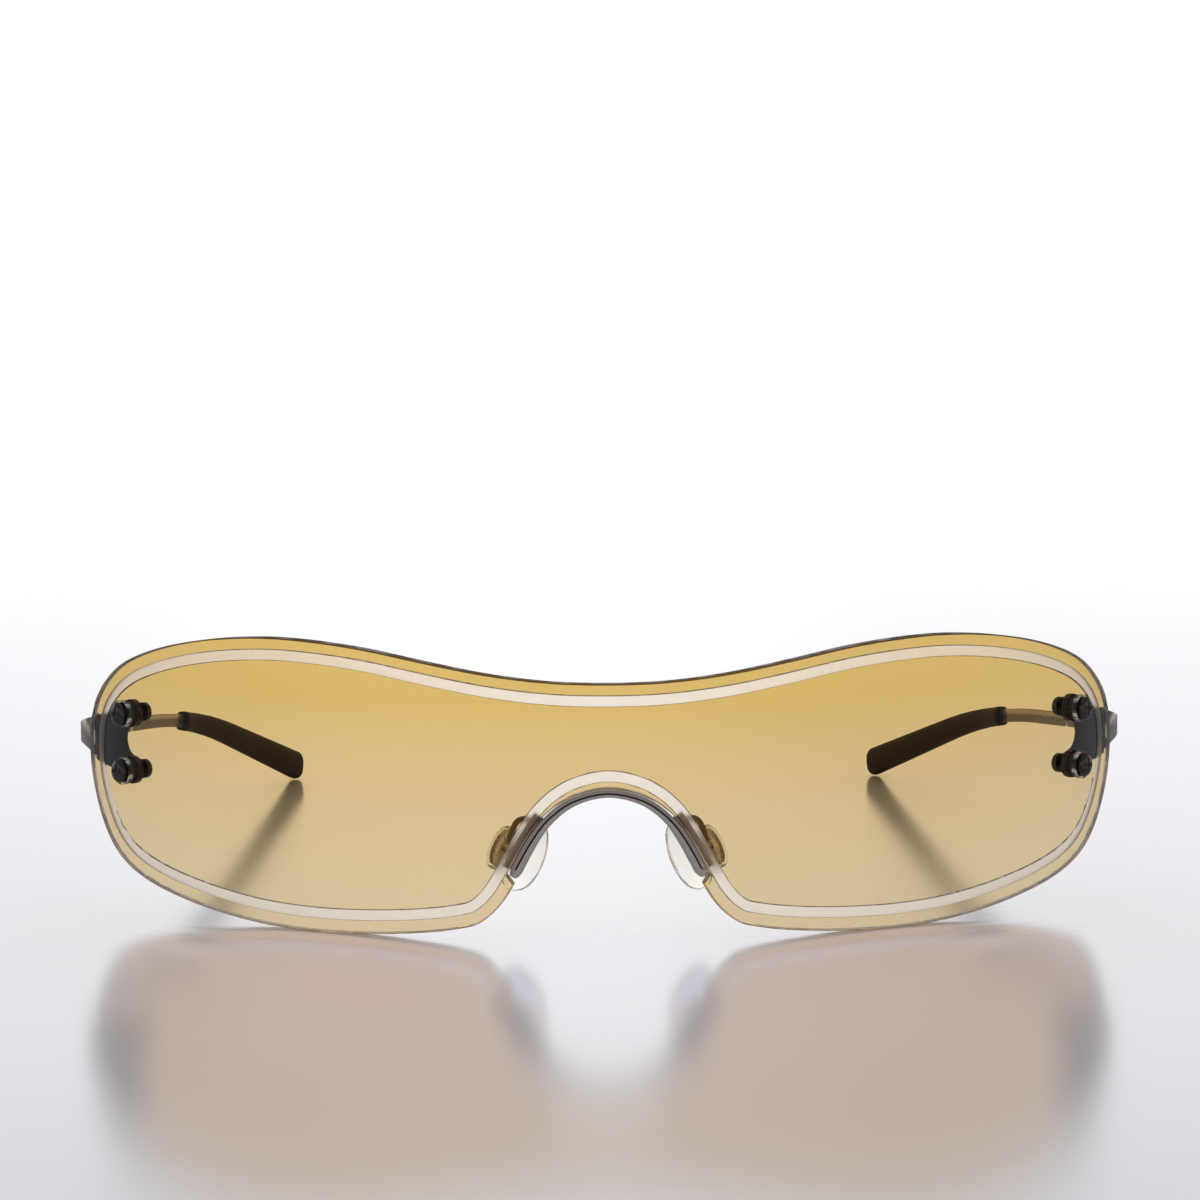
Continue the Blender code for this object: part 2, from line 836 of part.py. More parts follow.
def temple_height_at(p):
    """Height and downward slope of the middle line: straight, then a steady bend, then straight."""
    extra = tip_slope() - temple_slope
    t = min(max(p - bend_start, 0), bend_length)
    past = max(p - bend_start - bend_length, 0)
    drop = temple_slope * p + extra * (t ** 2 / (2 * bend_length) + past)
    return temple_start_height - drop, temple_slope + extra * t / bend_length


def temple_frame(p):
    """Centre, outward side and upward axis of a section across the temple."""
    x, y, heading = temple_plan(p)
    z, slope = temple_height_at(p)
    side = Vector((cos(heading), -sin(heading), 0))
    run = Vector((sin(heading), cos(heading), -slope)).normalized()
    return Vector((x, y, z)), side, side.cross(run)


def section(p, points):
    """Flat section points, set across the temple's middle line."""
    centre, side, up = temple_frame(p)
    return [centre + side * a + up * b for a, b in points]


def bevelled(half_width, top, bottom, bevel):
    """A rectangle with cut corners."""
    return [
        (half_width, top - bevel), (half_width - bevel, top), (bevel - half_width, top),
        (-half_width, top - bevel), (-half_width, bevel - bottom), (bevel - half_width, -bottom),
        (half_width - bevel, -bottom), (half_width, bevel - bottom),
    ]


def strip_edges(p):
    """How far the temple strip reaches above and below its middle line."""
    left_over = max(0, 1 - p / tab_length)
    half = temple_height / 2
    top = half + (tab_top - half) * left_over ** tab_top_power_share
    bottom = half + (tab_bottom - half) * left_over ** tab_bottom_power_share
    return top, bottom


def make_temples():
    """Flared strip, thin core for the sleeve, and the middle hinge knuckle."""
    mouth = temple_plan_length() - sleeve_length
    half = temple_thickness / 2
    rings = []
    for p in [*np.linspace(0, tab_length, 9), *np.linspace(tab_length, mouth - running_gap, 12)[1:]]:
        rings.append(section(p, bevelled(half, *strip_edges(p), temple_bevel)))
    half = core_thickness / 2
    for p in np.linspace(mouth, mouth + core_length, 10):
        rings.append(section(p, bevelled(half, core_height / 2, core_height / 2, temple_bevel)))
    strip = loft("temple", rings)
    low, high = knuckle_levels()[1]
    axis = hinge_axis()
    foot = temple_foot(axis)
    arm = bar_between(axis, foot, hinge_web, low, high)
    body = combine(strip, [arm, knuckle(low, high)], "UNION")
    body = combine(body, [hinge_bore()], "DIFFERENCE")
    pair("temple", body, brushed_steel(), axis)


def temple_foot(axis):
    """The point of the strip's middle line that lies beside the hinge axis."""
    nearest = min(np.linspace(0, tab_length, 57), key=lambda p: abs(temple_plan(p)[1] - axis.y))
    x, y, _ = temple_plan(nearest)
    return Vector((x, y, axis.z))


def oval(half_width, half_height, sides):
    """A rounded-rectangle section."""
    power = sleeve_corner_share
    points = []
    for i in range(sides):
        a = 2 * pi * i / sides
        c, s = cos(a), sin(a)
        x = abs(c) ** power * (1 if c >= 0 else -1)
        y = abs(s) ** power * (1 if s >= 0 else -1)
        points.append((half_width * x, half_height * y))
    return points


def sleeve_size(share):
    """Half thickness and half height of the sleeve, by share of its length."""
    eased = share * share * (3 - 2 * share)
    flared = share ** sleeve_flare_share
    width = sleeve_mouth_thickness + (sleeve_end_thickness - sleeve_mouth_thickness) * eased
    height = sleeve_mouth_height + (sleeve_end_height - sleeve_mouth_height) * flared
    return width / 2, height / 2


def make_temple_tips():
    """The sleeve: a collar at its mouth, a paddle end, and a blind socket for the core."""
    total = temple_plan_length()
    mouth = total - sleeve_length
    rings = []
    collar_end = collar_length / sleeve_length
    rest = np.linspace(collar_end, 1, 13)[1:-1]
    for share in [0, collar_end * collar_step_share, collar_end, *rest]:
        width, height = sleeve_size(share)
        proud = collar_proud if share < collar_end else 0
        ring = oval(width + proud, height + proud, small_sides)
        rings.append(section(mouth + sleeve_length * share, ring))
    width, height = sleeve_size(1)
    for a in [radians(angle) for angle in tip_round_angles]:
        shrink = 1 - (1 - cos(a)) * sleeve_end_round / height
        p = total - sleeve_end_round * (1 - sin(a))
        rings.append(section(p, oval(width * sqrt(cos(a)), height * shrink, small_sides)))
    half_width = core_thickness / 2 + socket_gap
    half_height = core_height / 2 + socket_gap
    socket = []
    for p in np.linspace(mouth + core_length + socket_spare, mouth, 9):
        socket.append(section(p, oval(half_width, half_height, small_sides)))
    body = loft("temple_tip", socket + rings)
    pair("temple_tip", body, black_plastic(), hinge_axis())


# Nose pads and their arms

def pad_frame():
    """Local axes of the +X pad: x across it, y along it, z out of its contact face."""
    flat = cos(pad_splay)
    contact = Vector((-flat * cos(pad_tilt), sin(pad_splay), -flat * sin(pad_tilt)))
    along_pad = Vector((-sin(pad_tilt), 0, cos(pad_tilt)))
    across = along_pad.cross(contact)
    centre = Vector((pad_centre_x, front_y + pad_centre_behind, pad_centre_height))
    turn = Matrix((across, along_pad, contact)).transposed().to_4x4()
    return Matrix.Translation(centre) @ turn


def egg(width, length, height, sides, taper=0.0):
    """An oval ring, narrower towards its upper end by the taper."""
    ring = []
    for i in range(sides):
        a = 2 * pi * i / sides
        narrow = 1 - taper * sin(a)
        ring.append(Vector((width / 2 * cos(a) * narrow, length / 2 * sin(a), height)))
    return ring


def insert_level():
    """Local height of the middle of the insert, which is the pad's pivot."""
    return -(pad_thickness / 2 + boss_height) + running_gap + insert_thickness / 2


def pad_pivot():
    """World place of the +X pad's pivot."""
    return pad_frame() @ Vector((0, 0, insert_level()))


def pin_line():
    """Turns the local Z axis onto the pad's pivot axis, from the pivot towards the arm."""
    lift = Matrix.Translation((0, 0, insert_level()))
    return pad_frame() @ lift @ Matrix.Rotation(radians(90), 4, "Y")


def make_nose_pads():
    """A domed oval pad whose back carries a boss, with a pocket for the insert and the pin."""
    top = pad_thickness / 2
    taper = pad_taper_share
    rings = []
    for size, level in pad_dome_shares:
        rings.append(egg(pad_width * size, pad_length * size, top * level, pad_sides, taper))
    back = -top
    rim = pad_thickness * pad_rim_share
    rings.append(egg(pad_width - rim, pad_length - rim, back, pad_sides, taper))
    rings.append(egg(boss_width + rim, boss_length + rim, back, pad_sides))
    rings.append(egg(boss_width, boss_length, back - rim, pad_sides))
    end = back - boss_height
    rings.append(egg(boss_width, boss_length, end + rim / 2, pad_sides))
    rings.append(egg(boss_width - rim / 2, boss_length - rim / 2, end, pad_sides))
    pocket_width = insert_width + 2 * seat_gap
    pocket_length = insert_length + 2 * seat_gap
    floor = end + insert_thickness + 2 * seat_gap
    rings.append(egg(pocket_width, pocket_length, end, pad_sides))
    rings.append(egg(pocket_width, pocket_length, floor, pad_sides))
    half = arm_radius + seat_gap
    near = (insert_width / 2, -half, end - cut_overrun)
    far = (boss_width / 2 + cut_overrun, half, insert_level() + half)
    pad = combine(loft("nose_pad", rings), [box("notch", near, far)], "DIFFERENCE")
    pair("nose_pad", placed(pad, pad_frame()), clear_silicone(), pad_pivot())


def make_pad_inserts():
    """The dark oval ring in each pad, bored through one side for the arm's pin."""
    low = insert_level() - insert_thickness / 2
    high = insert_level() + insert_thickness / 2
    sizes = [
        (insert_width, insert_length, high), (insert_width, insert_length, low),
        (insert_slot_width, insert_slot_length, low), (insert_slot_width, insert_slot_length, high),
    ]
    rings = [egg(w, l, h, pad_sides) for w, l, h in sizes]
    ring = placed(loft("pad_insert", rings, closed=True), pad_frame())
    radius = arm_pin_radius + running_gap
    bore = turned("bore", [(radius, insert_width / 2 + cut_overrun), (radius, 0)], small_sides)
    ring = combine(ring, [placed(bore, pin_line())], "DIFFERENCE")
    pair("pad_insert", ring, black_plastic(), pad_pivot())


def arm_route():
    """Middle line of the +X arm: along the ear, out and up behind the lens, down to the pin."""
    end = strip_half_length - ear_setback
    points, normals = strip_path([end - ear_length * share for share in arm_foot_shares])
    depth = lens_thickness + 2 * seat_gap + ear_thickness + arm_radius
    across = strip_reach(end)[1] + ear_reach / 2
    foot = [bent(*(p + n * across), depth) for p, n in zip(points, normals)]
    crest = Vector((arm_crest_x, front_y + arm_crest_behind, arm_crest_height))
    bend = Vector((arm_bend_x, front_y + arm_bend_behind, arm_bend_height))
    wall = boss_width / 2 + seat_gap / 2
    knee = Vector((wall + arm_knee_out, arm_knee_up, insert_level() - arm_knee_back))
    places = [wall, insert_width / 2, insert_slot_width / 2 - running_gap]
    pin = [Vector((x, 0, insert_level())) for x in places]
    return [*foot, crest, bend, *[pad_frame() @ point for point in (knee, *pin)]]


def arm_size(place):
    """Radius of the wire: full up to the pad's boss, and thinned to a pin inside the insert."""
    across = (pad_frame().inverted() @ place).x
    wide = boss_width / 2 + seat_gap
    thin = insert_width / 2 + seat_gap
    share = min(1, max(0, (across - thin) / (wide - thin)))
    return arm_pin_radius + (arm_radius - arm_pin_radius) * share


def make_pad_arms():
    """A round wire along the ear, whose end is a pin riveted over inside the insert."""
    line = space_curve(arm_route(), 4)
    end = line[-1]
    pin_run = (line[-1] - line[-2]).normalized()
    stations = [(place, arm_size(place)) for place in line]
    stations.append((end, arm_pin_head_radius))
    stations.append((end + pin_run * arm_pin_head_length, arm_pin_head_radius))
    line = [line[0], *line, line[-1]]
    rings = []
    side = Vector((0, 1, 0))
    turns = [2 * pi * k / wire_sides for k in range(wire_sides)]
    for i, (centre, radius) in enumerate(stations):
        run = pin_run
        if i + 2 < len(line):
            run = (line[i + 2] - line[i]).normalized()
        side = (side - run * run.dot(side)).normalized()
        up = run.cross(side)
        rings.append([centre + (side * cos(a) + up * sin(a)) * radius for a in turns])
    pair("pad_arm", loft("pad_arm", rings), grey_metal())


def space_curve(points, pieces):
    """A Catmull-Rom curve in space through the given points."""
    chain = [2 * points[0] - points[1], *points, 2 * points[-1] - points[-2]]
    run = []
    for a, b, c, d in zip(chain, chain[1:], chain[2:], chain[3:]):
        for k in range(pieces):
            t = k / pieces
            bend = 2 * a - 5 * b + 4 * c - d
            twist = 3 * b - a - 3 * c + d
            run.append((2 * b + (c - a) * t + bend * t ** 2 + twist * t ** 3) / 2)
    return [*run, points[-1]]


def build():
    """Clears the scene and makes every piece."""
    for old in list(bpy.data.objects):
        bpy.data.objects.remove(old)
    make_lens()
    make_nose_bridge()
    make_fasteners()
    make_endpieces()
    make_hinge_screws()
    make_temples()
    make_temple_tips()
    make_nose_pads()
    make_pad_inserts()
    make_pad_arms()


build()
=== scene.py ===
# %% [markdown]
# # Rimless wraparound sunglasses
# A imported CAD model gives every solid of these sunglasses in its place. This lesson gives them
# their looks: a clear tinted lens, satin and brushed metal, soft dark sleeves and silicone pads.
# We load the model first and keep its box, since nothing we add should grow the object.

# %% Load the CAD model
from math import atan2, cos, degrees, hypot, radians, sin

import bmesh
import bpy
from mathutils import Matrix, Vector


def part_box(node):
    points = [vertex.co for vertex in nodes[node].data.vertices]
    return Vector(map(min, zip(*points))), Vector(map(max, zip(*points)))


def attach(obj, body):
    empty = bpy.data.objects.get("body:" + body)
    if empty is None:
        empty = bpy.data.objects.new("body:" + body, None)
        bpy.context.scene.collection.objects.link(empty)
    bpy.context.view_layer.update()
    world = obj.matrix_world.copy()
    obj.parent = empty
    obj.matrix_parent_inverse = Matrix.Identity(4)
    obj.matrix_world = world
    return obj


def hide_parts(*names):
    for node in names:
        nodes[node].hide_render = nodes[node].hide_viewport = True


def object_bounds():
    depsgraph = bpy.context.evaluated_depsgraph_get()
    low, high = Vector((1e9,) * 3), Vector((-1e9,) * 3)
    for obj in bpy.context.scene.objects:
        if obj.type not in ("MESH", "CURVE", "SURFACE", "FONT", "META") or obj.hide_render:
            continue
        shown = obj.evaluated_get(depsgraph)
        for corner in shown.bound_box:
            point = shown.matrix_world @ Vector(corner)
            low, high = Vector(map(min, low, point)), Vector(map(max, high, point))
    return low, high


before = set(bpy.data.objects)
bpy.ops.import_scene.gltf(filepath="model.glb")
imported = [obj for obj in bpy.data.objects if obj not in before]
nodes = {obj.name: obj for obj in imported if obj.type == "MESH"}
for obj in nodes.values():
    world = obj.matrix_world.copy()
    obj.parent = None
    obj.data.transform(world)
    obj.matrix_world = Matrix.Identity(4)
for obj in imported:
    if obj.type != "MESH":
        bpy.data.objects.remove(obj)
cad_low, cad_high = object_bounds()
print("solids:", len(nodes), "box in mm:", [round(1000 * v, 1) for v in cad_high - cad_low])

# %% [markdown]
# ## A plain view
# Blender can show a render through a film curve, which softens highlights but greys whites down.
# The Standard view transform shows a colour about as it is written. We need that when we match
# colours.

# %% Colour management
scene = bpy.context.scene
scene.view_settings.view_transform = "Standard"
print("view transform:", scene.view_settings.view_transform)

# %% [markdown]
# ## The camera
# The photograph was taken with a long lens from a little above the table. A long lens keeps the
# far temple tips nearly as large as they would be up close. A Track To constraint could aim the
# camera, but it leaves no room for roll. So we build the camera's axes from its heading, its tilt
# down and a trace of roll, which is also easier to reason about than Euler angles.

# %% Camera
lens_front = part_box("lens_shield")[0].y
camera_distance = 0.560
camera_height = 0.10124
camera_side = -0.014
camera_heading = radians(1.324)
camera_tilt = radians(5.7)
camera_roll = radians(0.187)
camera_focal_mm = 129.12


def camera_axes():
    """Right, up and backward directions of the camera."""
    flat = cos(camera_tilt)
    ahead = Vector((sin(camera_heading) * flat, cos(camera_heading) * flat, -sin(camera_tilt)))
    level = Vector((cos(camera_heading), -sin(camera_heading), 0))
    above = level.cross(ahead)
    right = level * cos(camera_roll) - above * sin(camera_roll)
    up = above * cos(camera_roll) + level * sin(camera_roll)
    return right, up, -ahead


camera_data = bpy.data.cameras.new("camera")
camera_data.lens = camera_focal_mm
camera_data.clip_start = 0.01
camera = bpy.data.objects.new("camera", camera_data)
scene.collection.objects.link(camera)
place = Vector((camera_side, lens_front - camera_distance, camera_height))
camera.matrix_world = Matrix.Translation(place) @ Matrix(camera_axes()).transposed().to_4x4()
scene.camera = camera
print("camera stands", camera_distance, "m in front of the lens")

# %% [markdown]
# ## Materials as small node recipes
# Every finish below is a Principled shader with some noise driving its colour, roughness and
# bump. Image textures could do that too, but noise has no seams and any size we want. We write one
# helper that makes the shader and a few that add nodes, so that each finish is a short recipe.
# Noise is laid out in object space, in metres, so its scale is a real size.

# %% Shader and noise helpers


def new_material(name, colour, roughness, metallic=0.0, **sockets):
    """A Principled material; extra sockets are set by name, with _ for a space."""
    made = bpy.data.materials.new(name)
    made.use_nodes = True
    shader = made.node_tree.nodes["Principled BSDF"]
    shader.inputs["Base Color"].default_value = (*colour, 1)
    shader.inputs["Roughness"].default_value = roughness
    shader.inputs["Metallic"].default_value = metallic
    for socket, value in sockets.items():
        shader.inputs[socket.replace("_", " ")].default_value = value
    return made, made.node_tree, shader


def object_space(tree, stretch=(1, 1, 1)):
    """Object coordinates in metres, stretched to draw a texture out along an axis."""
    source = tree.nodes.new("ShaderNodeTexCoord")
    mapping = tree.nodes.new("ShaderNodeMapping")
    mapping.inputs["Scale"].default_value = stretch
    tree.links.new(source.outputs["Object"], mapping.inputs["Vector"])
    return mapping.outputs["Vector"]


def noise(tree, vector, size, detail):
    """Noise whose blotches are about size metres across."""
    made = tree.nodes.new("ShaderNodeTexNoise")
    made.inputs["Scale"].default_value = 1 / size
    made.inputs["Detail"].default_value = detail
    tree.links.new(vector, made.inputs["Vector"])
    return made.outputs["Fac"]


print("helpers ready: a shader, object space and noise")

# %% [markdown]
# ## Values in nodes
# Noise hardly ever leaves the range from 0.3 to 0.7. A Map Range node spreads that onto the values
# we want, and with a smooth step it makes soft borders. Mix nodes blend numbers and colours. A
# Color Ramp could do both jobs, but its stops are harder to read in code than two named ends.

# %% Value helpers


def feed(tree, socket, value):
    """Links a node's output to a socket, or sets a number or a colour on it."""
    if isinstance(value, bpy.types.NodeSocket):
        tree.links.new(value, socket)
    elif isinstance(value, tuple):
        socket.default_value = (*value, 1)
    else:
        socket.default_value = value


def spread(tree, value, low, high, start=0.3, end=0.7, step="LINEAR"):
    """Maps a value that runs from start to end onto low to high."""
    made = tree.nodes.new("ShaderNodeMapRange")
    made.interpolation_type = step
    limits = {"From Min": start, "From Max": end, "To Min": low, "To Max": high}
    for socket, number in limits.items():
        made.inputs[socket].default_value = number
    tree.links.new(value, made.inputs["Value"])
    return made.outputs["Result"]


def ramp(tree, value, start, end, low=0, high=1):
    """A smooth step from low to high, as the value goes from start to end."""
    return spread(tree, value, low, high, start, end, "SMOOTHSTEP")


def blend(tree, share, first, second, kind="FLOAT"):
    """From first to second as share goes from 0 to 1; kind is FLOAT or RGBA."""
    made = tree.nodes.new("ShaderNodeMix")
    made.data_type = kind
    for socket, value in (("Factor", share), ("A", first), ("B", second)):
        feed(tree, made.inputs[socket], value)
    return made.outputs["Result"]


print("helpers ready: spreads, smooth steps and blends")

# %% [markdown]
# ## One pattern for each finish
# Where a real surface is dented or scratched, its colour, shine and relief change in the same
# places. Three separate noises would look like unrelated stains. So each finish has one pattern
# that drives whichever of the three it needs.

# %% Pattern helper


def vary(tree, shader, pattern, colours=None, roughness=None, height=None):
    """Lets a pattern drive the colour, the roughness and the bump that are given."""
    if colours:
        feed(tree, shader.inputs["Base Color"], blend(tree, pattern, *colours, "RGBA"))
    if roughness:
        feed(tree, shader.inputs["Roughness"], spread(tree, pattern, *roughness))
    if height:
        relief = tree.nodes.new("ShaderNodeBump")
        relief.inputs["Distance"].default_value = height
        feed(tree, relief.inputs["Height"], pattern)
        feed(tree, shader.inputs["Normal"], relief.outputs["Normal"])


print("helper ready: one pattern for colour, roughness and bump")

# %% [markdown]
# ## The table
# The glasses lie on a glossy silver-white sheet in front of a bright wall. A white diffuse table
# would show hardly any reflection here, so this one is partly metallic. It has very fine fibres
# that run from side to side, which draw the reflections out a little. It is a disc whose rim fades
# to nothing, so that it melts into the wall and looks the same from every side.

# %% Table finish
fade_start, fade_end = 0.29, 0.46
table_white = (0.945, 0.943, 1.0)
table_metal = 0.60
table_roughness, roughness_play = 0.165, 0.005
fibre_size = 0.0008
fibre_height = 0.000003
fibre_stretch = (0.12, 1, 1)


def partly_clear(tree, shader, share, tint=(1, 1, 1)):
    """Swaps a share of the shader for a tinted Transparent one."""
    clear = tree.nodes.new("ShaderNodeBsdfTransparent")
    clear.inputs["Color"].default_value = (*tint, 1)
    mix = tree.nodes.new("ShaderNodeMixShader")
    tree.links.new(share, mix.inputs["Fac"])
    tree.links.new(shader.outputs["BSDF"], mix.inputs[1])
    tree.links.new(clear.outputs["BSDF"], mix.inputs[2])
    tree.links.new(mix.outputs["Shader"], tree.nodes["Material Output"].inputs["Surface"])


def table_material():
    """Silvery white sheet, faded out towards the rim of the disc."""
    made, tree, shader = new_material("table_white", table_white, table_roughness, table_metal)
    fibres = noise(tree, object_space(tree, fibre_stretch), fibre_size, detail=4)
    smooth, rough = table_roughness - roughness_play, table_roughness + roughness_play
    vary(tree, shader, fibres, roughness=(smooth, rough), height=fibre_height)
    from_middle = tree.nodes.new("ShaderNodeVectorMath")
    from_middle.operation = "LENGTH"
    tree.links.new(object_space(tree), from_middle.inputs[0])
    partly_clear(tree, shader, ramp(tree, from_middle.outputs["Value"], fade_start, fade_end))
    return made


print("the table fades out between", fade_start, "and", fade_end, "m from its middle")

# %% Table
table_radius = 0.60
rim_corners = 96
bpy.ops.mesh.primitive_circle_add(vertices=rim_corners, radius=table_radius, fill_type="NGON")
table = bpy.context.object
table.name = "table"
table.data.materials.append(table_material())
print("table radius:", table_radius)

# %% [markdown]
# ## Background and light
# The glasses stand in front of a bright studio wall. A real backdrop and more lamps could make it,
# but a few world nodes do the same, on all sides of the table. The wall is bright at the horizon
# and dims further up. The camera sees it plain white, and diffuse light stays at one level.
# Reflections see the wall itself, which glows a little in the middle, behind the glasses. The Light
# Path node tells these kinds of ray apart. It also makes two corrections, which no real room
# has. A reflection of a reflection is kept dim, so dark pieces stay dark behind the lens instead of
# going milky. And light that comes through the lens to the table's mirror image is made weaker,
# rosy low on the wall and cooler higher up, which brings that image closer to the photograph.

# %% World values
sky_light = 0.60
second_bounce_light = 0.15
wall_light, ceiling_light, floor_light = 1.08, 0.25, 0.15
mirrored_glass_share = 0.78
mirrored_glass_low = (0.85, 0.68, 0.66)
mirrored_glass_high = (1.12, 1.14, 1.55)

# Places on the wall are parts of a direction of length 1: x to the side and z up.
dimming_start, dimming_end = 0.06, 0.42
horizon_blur = 0.06
wall_glow = 1.12
glow_core, glow_edge = 0.02, 0.11
turn_start, turn_end = 0.165, 0.235
print("the wall dims between", dimming_start, "and", dimming_end, "of the way up")

# %% World


def calc(tree, operation, *values):
    """The result of a Math node."""
    made = tree.nodes.new("ShaderNodeMath")
    made.operation = operation
    for socket, value in zip(made.inputs, values):
        feed(tree, socket, value)
    return made.outputs["Value"]


def wall_strength(tree, place, path, bounced):
    """How bright each kind of ray finds the wall."""
    wall = ramp(tree, place["Z"], dimming_start, dimming_end, wall_light, ceiling_light)
    glow = ramp(tree, calc(tree, "ABSOLUTE", place["X"]), glow_core, glow_edge, wall_glow, 1)
    below = ramp(tree, place["Z"], -horizon_blur, 0, 1, 0)
    reflected = blend(tree, below, calc(tree, "MULTIPLY", wall, glow), floor_light)
    again = ramp(tree, path["Glossy Depth"], 1, 2)
    reflected = blend(tree, again, reflected, second_bounce_light)
    dimmed = calc(tree, "MULTIPLY", glow, mirrored_glass_share)
    through = calc(tree, "MULTIPLY", wall, blend(tree, bounced, 1, dimmed))
    strength = blend(tree, path["Is Glossy Ray"], sky_light, reflected)
    strength = blend(tree, path["Is Transmission Ray"], strength, through)
    return blend(tree, path["Is Camera Ray"], strength, 1)


def wall_colour(tree, place, path, bounced):
    """White, or tinted for light that the table mirrors through the lens."""
    rise = ramp(tree, place["Z"], turn_start, turn_end)
    mirrored = blend(tree, rise, mirrored_glass_low, mirrored_glass_high, "RGBA")
    behind_glass = calc(tree, "MULTIPLY", path["Is Transmission Ray"], bounced)
    return blend(tree, behind_glass, (1, 1, 1), mirrored, "RGBA")


def studio_world():
    """White for the camera, and for reflections a bright wall that dims above and below."""
    world = bpy.data.worlds.new("studio")
    world.use_nodes = True
    tree = world.node_tree
    split = tree.nodes.new("ShaderNodeSeparateXYZ")
    direction = tree.nodes.new("ShaderNodeTexCoord").outputs["Generated"]
    tree.links.new(direction, split.inputs["Vector"])
    path = tree.nodes.new("ShaderNodeLightPath").outputs
    bounced = ramp(tree, path["Glossy Depth"], 0, 1)
    sources = (tree, split.outputs, path, bounced)
    background = tree.nodes["Background"]
    tree.links.new(wall_colour(*sources), background.inputs["Color"])
    tree.links.new(wall_strength(*sources), background.inputs["Strength"])
    return world


scene.world = studio_world()
print("light from the sky:", sky_light)

# %% [markdown]
# ## Two softboxes
# A softbox above the glasses gives metal and plastic their broad highlights. A second one stands
# behind them and lights the table through the lens. Spot lamps would draw hard shadows, so both
# are large area lamps. The one behind would show as a white square in the table and the lens, so
# gloss and glass don't see it.

# %% Lamps


def softbox(name, location, size, power, mirrored):
    """A square area lamp aimed at the middle of the table; mirrored says if gloss shows it."""
    data = bpy.data.lights.new(name, "AREA")
    data.size = size
    data.energy = power
    lamp = bpy.data.objects.new(name, data)
    lamp.location = location
    lamp.rotation_euler = (-Vector(location)).to_track_quat("-Z", "Y").to_euler()
    lamp.visible_camera = False
    lamp.visible_glossy = mirrored
    lamp.visible_transmission = mirrored
    scene.collection.objects.link(lamp)


softbox("top_softbox", (0.0, 0.10, 0.90), size=0.80, power=1.6, mirrored=True)
softbox("back_softbox", (0.0, 0.95, 0.42), size=0.70, power=4.5, mirrored=False)

# %% [markdown]
# ## The lens
# The lens is one sheet of plastic, bent round a vertical cylinder. A frosted groove in it shows
# pale, so we take its amber tint to be a thin dyed layer on the rear face that the groove cuts
# through. The CAD solid has flat facets 4 mm wide, which would break up what we see through it.
# Subdividing it would round off its cut edges as well. So we unroll its mesh to the flat sheet it
# was drawn as, refine it there and roll it up again.

# %% Unroll the lens
lens_radius = 0.0850
roll_axis_y = lens_front + lens_radius
merge_distance = 1e-6
flat_angle = radians(0.5)


def unrolled(point):
    """Arc length from the middle, depth behind the front face, and height."""
    forward = roll_axis_y - point.y
    return Vector((
        lens_radius * atan2(point.x, forward), lens_radius - hypot(point.x, forward), point.z,
    ))


def rolled(point):
    """The way back from the flat sheet."""
    angle = point.x / lens_radius
    radius = lens_radius - point.y
    return Vector((radius * sin(angle), roll_axis_y - radius * cos(angle), point.z))


def flat_lens():
    """The CAD lens unrolled, its facets merged into flat faces."""
    bm = bmesh.new()
    bm.from_mesh(nodes["lens_shield"].data)
    bmesh.ops.remove_doubles(bm, verts=bm.verts, dist=merge_distance)
    for vert in bm.verts:
        vert.co = unrolled(vert.co)
    bmesh.ops.dissolve_limit(bm, angle_limit=flat_angle, verts=bm.verts, edges=bm.edges)
    return bm


lens_bm = flat_lens()
print("flat lens: faces", len(lens_bm.faces), "edges", len(lens_bm.edges))

# %% [markdown]
# ## Round the outlines
# The outlines of the lens, its groove and its holes are polygons with sides of up to 2.5 mm. On
# glass such corners catch the light. A Bevel would only make more corners, so we split each long
# side in four and lay the new points on a curve. The curve leaves both ends of the side in the
# direction that it shares with its neighbour, unless the corner is a real one.

# %% Curves along the sides
corner_angle = radians(20)
sharpest_turn = radians(35)


def outline_edges(bm):
    """Edges that run round the sheet at one depth, where two faces meet at an angle."""
    level = [e for e in bm.edges if abs(e.verts[0].co.y - e.verts[1].co.y) < merge_distance]
    return {e for e in level if len(e.link_faces) == 2 and e.calc_face_angle() > corner_angle}


def end_direction(edge, vert, outline):
    """Direction of the curve at an end of an edge, pointing into the edge."""
    own = edge.other_vert(vert).co - vert.co
    best, straightest = None, cos(sharpest_turn)
    for other in vert.link_edges:
        if other is edge or other not in outline:
            continue
        back = vert.co - other.other_vert(vert).co
        straight = own.normalized().dot(back.normalized())
        if straight > straightest:
            best, straightest = back, straight
    if best is None:
        return own
    share = own.length / (own.length + best.length)
    return (own.normalized() * (1 - share) + best.normalized() * share).normalized() * own.length


def curve_point(start, end, leave, arrive, share):
    """A point of the cubic that leaves start along leave and reaches end along arrive."""
    t, u = share, 1 - share
    chord = start * (u * u * (1 + 2 * t)) + end * (t * t * (3 - 2 * t))
    return chord + leave * (t * u * u) - arrive * (t * t * u)


print("edges of the outlines:", len(outline_edges(lens_bm)))

# %% Round the outlines
shortest_split = 0.0005
parts_per_side = 4


def round_outlines(bm):
    """Splits the long sides of the outlines along smooth curves."""
    outline = outline_edges(bm)
    plans = []
    for edge in bm.edges:
        if edge in outline and edge.calc_length() > shortest_split:
            first, last = edge.verts
            leave = end_direction(edge, first, outline)
            arrive = -end_direction(edge, last, outline)
            plans.append((first, last, first.co.copy(), last.co.copy(), leave, arrive))
    for first, last, start, end, leave, arrive in plans:
        here = first
        for step in range(1, parts_per_side):
            split = bmesh.utils.edge_split(bm.edges.get((here, last)), here, 0.5)[1]
            split.co = curve_point(start, end, leave, arrive, step / parts_per_side)
            split.co.z = min(max(split.co.z, cad_low.z), cad_high.z)
            here = split
    return len(plans)


print("sides rounded:", round_outlines(lens_bm))

